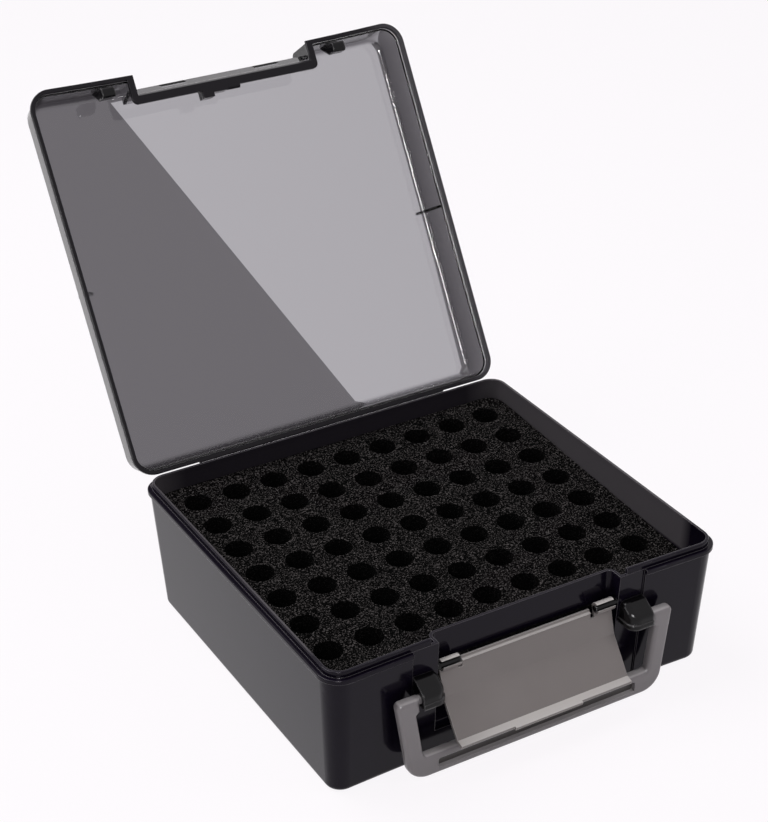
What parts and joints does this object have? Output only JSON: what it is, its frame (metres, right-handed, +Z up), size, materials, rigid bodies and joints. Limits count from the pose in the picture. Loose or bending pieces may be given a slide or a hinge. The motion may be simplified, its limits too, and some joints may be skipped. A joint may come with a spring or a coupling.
{
  "type": "battery storage case",
  "caption": "Hinged plastic case holding upright cylindrical cells in a block of holed foam, with a clip-over front latch and a swinging carry handle.",
  "frame": {"origin": "middle of the base's flat underside", "axes": "+X to the right seen from the front, +Y to the back where the hinge is, +Z up"},
  "size_m": [0.23, 0.3578, 0.2579],
  "materials": {
    "base_smoke": "glossy smoke-tinted moulding",
    "lid_smoke": "glossy see-through smoke",
    "silver_grey": "fine matte silver-grey",
    "black_gloss": "glossy black",
    "foam": "open-cell foam, speckled"
  },
  "bodies": {
    "case": {"base_shell": "base_smoke", "hinge_web": "base_smoke", "latch_pin_left": "black_gloss", "latch_pin_right": "black_gloss", "handle_lug_left": "black_gloss", "handle_lug_right": "black_gloss", "foam_insert": "foam", "foam_base_pad": "foam"},
    "lid": {"lid_shell": "lid_smoke", "lid_locator_left": "black_gloss", "lid_locator_right": "black_gloss"},
    "latch": {"latch_plate": "silver_grey"},
    "handle": {"carry_handle": "silver_grey"}
  },
  "joints": [
    {"name": "lid_hinge", "type": "hinge", "parent": "case", "child": "lid", "pos_m": [0, 0.1087, 0.0725], "axis": [1, 0, 0], "range_deg": [0, 120.6]},
    {"name": "latch_hinge", "type": "hinge", "parent": "case", "child": "latch", "pos_m": [0, -0.1006, 0.0563], "axis": [-1, 0, 0], "range_deg": [0, 160]},
    {"name": "handle_pivot", "type": "hinge", "parent": "case", "child": "handle", "pos_m": [0, -0.109, 0.048], "axis": [-1, 0, 0], "range_deg": [-4, 170]}
  ]
}
